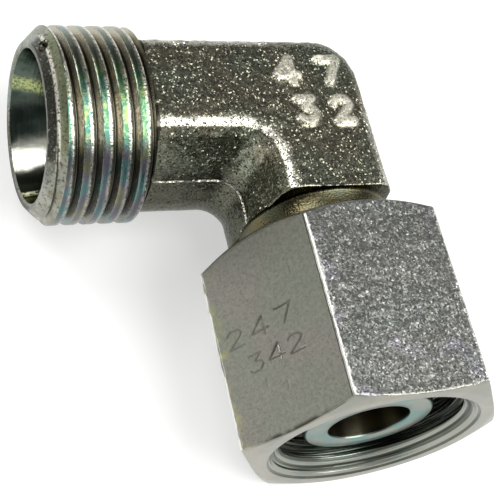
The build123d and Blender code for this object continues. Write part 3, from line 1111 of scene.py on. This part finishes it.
def assign(obj, materials, choice):
    """Puts the materials on the object, one per face by choice, and shades it smooth but for edges."""
    mesh = obj.data
    mesh.materials.clear()
    for material in materials:
        mesh.materials.append(material)
    mesh.polygons.foreach_set("material_index", choice.astype(np.int32))
    mesh.polygons.foreach_set("use_smooth", np.ones(len(mesh.polygons), bool))
    mesh.set_sharp_from_angle(angle=math.radians(38))
    mesh.update()


def store_elbow_numbers(obj):
    """Where the forging's digits and flash are, its fillets with a painted highlight, and the thread's
    ragged edges with coarse grain and a painted highlight.
    """
    points = vertex_places(obj)
    x, y, z = points.T
    digit = 1 - step_up(stroke_distance(x, y, raised_lines()), 0.26, 0.56)
    store(obj, "raised", digit * (z > 5.9))
    off_ends = (y > -SHOULDER + 0.05) & (x > -THREAD_END + 0.4)
    patchy = np.clip(0.7 + 0.5 * noise(points, 0.7, 23) + 0.4 * noise(points, 0.25, 24), 0, 1)
    store(obj, "flash", np.exp(-((z - 0.06) / 0.09) ** 2) * patchy * off_ends)
    # Height, for the painted shade low down on the forging.
    store(obj, "height", z)
    _, gradient = slopes(points, 0.05)
    upright = gradient[:, 2] / np.maximum(np.linalg.norm(gradient, axis=1), 0.01)
    # The fillets that the key light lights as a bright band, for their painted highlight.
    fillet = step_up(upright, 0.74, 0.86) * (1 - step_up(upright, 0.95, 0.99)) * (z > 3.5)
    store(obj, "painted_fillet_highlight", fillet * ((x < -3) | (y < -3)))
    # The crests' ragged edges: coarse grain there, and a painted highlight in the thread's film.
    turned = np.arctan2(-y, z) / (2 * math.pi)
    share = ((x - THREAD_START) / PITCH - turned + 0.2) % 1
    right = 1 - step_up(np.abs(share - 0.18), 0.075, 0.12)
    left = 0.5 * (1 - step_up(np.abs(share - 0.665), 0.015, 0.04))
    outer = step_up(np.hypot(y, z), THREAD_R - 0.3, THREAD_R - 0.15)
    ragged = np.clip(0.9 + 0.5 * noise(points, 0.5, 25), 0, 1)
    store(obj, "burr_and_glint", np.maximum(right, left) * outer * ragged)


def dress_elbow(obj):
    """Gives the elbow its materials: its turned and bored surfaces by place, the rest as forged."""
    store_elbow_numbers(obj)
    centre, normal = face_centres(obj)
    x, y, z = centre.T
    male_r = np.hypot(y, z)
    nut_r = np.hypot(x, z)
    end_ring = (x < -FACE_X + 1.25) & (normal[:, 0] < -0.3)
    choice = np.full(len(x), FORGED)
    choice[x < -THREAD_END + 0.75] = THREAD
    choice[y < -SHOULDER + 0.05] = NECK
    choice[(male_r < 5.9) & (x < -15.0)] = CONE
    choice[(male_r < 5.2) & (x < -3.0) & (x >= -15.0)] = CONE
    choice[(male_r < MALE_BORE_R + 0.1) & (nut_r < 9) & (x < 4.2)] = CONE
    choice[end_ring & (male_r > 6.0)] = END
    choice[(nut_r < BORE_EDGE_R) & (y < 0)] = BORE
    choice[(y < -27.1) & (nut_r > BORE_R)] = NIPPLE
    assign(obj, elbow_materials(), choice)


def dress_nut(obj):
    """Gives the nut its materials: smooth and rough flats, turned ends and the inside."""
    points = vertex_places(obj)
    flat, across, reach, _ = nut_place(points)
    between = step_up(reach, 13.2, 13.6) * (1 - step_up(reach, 28.4, 28.8))
    store(obj, "worn", nut_corner(points) * (0.35 + 0.65 * between))
    store(obj, "edge", 1 - step_up(across, -5.3, -4.2))
    stroke = 1 - step_up(stamp_distance(across, reach), 0.0, 0.12)
    rim = step_up(reach + 0.15 * noise(points, 0.6, 26), 28.55, 28.75)
    store(obj, "dark", np.maximum(rim, 0.5 * stroke) * (flat == MARKED_FLAT))
    centre, normal = face_centres(obj)
    flat, _, _, radius = nut_place(centre)
    outward = (normal[:, 0] * centre[:, 0] + normal[:, 2] * centre[:, 2]) / np.maximum(radius, 0.01)
    outside = (radius > 9.3) & (outward > 0.75)
    choice = np.full(len(radius), TURNED)
    choice[outside] = SATIN
    choice[outside & np.isin(flat, GRAINY_FLATS)] = GRAINY
    choice[~outside & (radius < 8.42)] = INSIDE
    assign(obj, nut_materials(), choice)


# Stage, light and camera

KEY = (0.36, -0.42, 0.83)
PART_MIDDLE = (0.0096, -0.0105, 0)


def placed(name, data, right, up, back, place):
    """An object that looks away from back, for a lamp or a camera."""
    obj = linked(name, data)
    rows = [[right[n], up[n], back[n], place[n]] for n in range(3)]
    obj.matrix_world = Matrix(rows + [[0, 0, 0, 1]])
    return obj


def stage_outline():
    """Radii and heights of the stage, in metres: a flat floor that curves up into a low wall."""
    outline = [(0.0, 0.0), (0.2, 0.0), (0.6, 0.0), (1.3, 0.0)]
    for angle in np.linspace(0, 60, 9)[1:]:
        t = math.radians(angle)
        outline.append((1.3 + 0.5 * math.sin(t), 0.5 * (1 - math.cos(t))))
    outline.append((1.95, 0.62))
    return outline


def floor(level):
    """Pale floor with a curved rim, so that low views have a pale background too."""
    around = 96
    outline = stage_outline()
    points = []
    for radius, height in outline:
        for n in range(around):
            a = 2 * math.pi * n / around
            points.append((radius * math.cos(a), radius * math.sin(a), level + height))
    faces = [face[::-1] for face in ring_faces(len(outline), around)]
    mesh = bpy.data.meshes.new("floor")
    mesh.from_pydata(points, [], faces)
    for polygon in mesh.polygons:
        polygon.use_smooth = True
    mesh.materials.append(floor_material())
    obj = linked("floor", mesh)


def floor_material():
    """Pale, with a glow that only the camera and mirror rays see, so it reads as white."""
    material = bpy.data.materials.new("floor")
    material.use_nodes = True
    nodes = Nodes(material.node_tree)
    nodes.tree.nodes.clear()
    path = nodes.node("LightPath").outputs
    diffuse = nodes.node("BsdfDiffuse", Color=(0.52, 0.52, 0.51))
    seen = nodes.maths("MAXIMUM", path["Is Camera Ray"], path["Is Glossy Ray"])
    seen = nodes.maths("MAXIMUM", seen, path["Is Transmission Ray"])
    glow = nodes.node("Emission", Color=(1, 1, 1), Strength=nodes.times(seen, 0.55))
    added = nodes.node("AddShader", in0=diffuse.outputs[0], in1=glow.outputs[0])
    nodes.node("OutputMaterial", in0=added.outputs[0])
    return material


def softbox(name, direction, distance, width, power):
    """A square area light that looks at the part from a direction."""
    light = bpy.data.lights.new(name, "AREA")
    light.shape = "SQUARE"
    light.size = width
    light.energy = power
    back = np.array(direction) / np.linalg.norm(direction)
    right = np.cross((0, 1, 0), back)
    right /= np.linalg.norm(right)
    placed(name, light, right, np.cross(back, right), back, PART_MIDDLE + back * distance)


def world():
    """A dim room with a soft glow around the key light."""
    made = bpy.data.worlds.new("world")
    bpy.context.scene.world = made
    made.use_nodes = True
    nodes = Nodes(made.node_tree)
    nodes.tree.nodes.clear()
    direction = nodes.node("TexCoord").outputs["Generated"]
    toward_key = tuple(np.array(KEY) / np.linalg.norm(KEY))
    near = nodes.node("VectorMath", {"operation": "DOT_PRODUCT"}, in0=direction, in1=toward_key)
    glow = nodes.ramp(near.outputs["Value"], 0.55, 0.97)
    level = nodes.blend(glow, (0.09, 0.09, 0.092), (0.75, 0.75, 0.75))
    room = nodes.node("Background", Color=level, Strength=1.0)
    nodes.node("OutputWorld", in0=room.outputs[0])


def camera():
    """The photograph's view, fitted to the part's outline and to edges inside it."""
    lens = bpy.data.cameras.new("camera")
    lens.sensor_width = 36.0
    focal, width = 1318.48, 500.0  # in pixels of the photograph
    lens.lens = focal * lens.sensor_width / width
    lens.clip_start = 0.005
    lens.clip_end = 50.0
    bpy.context.scene.camera = placed(
        "camera",
        lens,
        right=(0.91758, -0.22414, 0.32834),
        up=(0.04596, 0.88019, 0.47241),
        back=(-0.39488, -0.41838, 0.81794),
        place=(-0.032398, -0.05623, 0.086507),
    )


elbow = elbow_forging()
dress_elbow(elbow)
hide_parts("elbow_body")
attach(elbow, "elbow")

nut = swivel_nut()
dress_nut(nut)
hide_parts("swivel_nut")
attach(nut, "nut")

for name, material in (("retaining_ring", wire_material()), ("o_ring", rubber_material())):
    mesh = frame["nodes"][name].data
    mesh.materials.clear()
    mesh.materials.append(material)

floor(CAD_BOX[0][2] - 0.00002)
softbox("key", KEY, 0.45, 0.38, 2.2)
softbox("fill", (-0.45, 0.42, 0.79), 0.45, 0.24, 1.1)
world()
camera()
bpy.context.scene.view_settings.view_transform = "Standard"
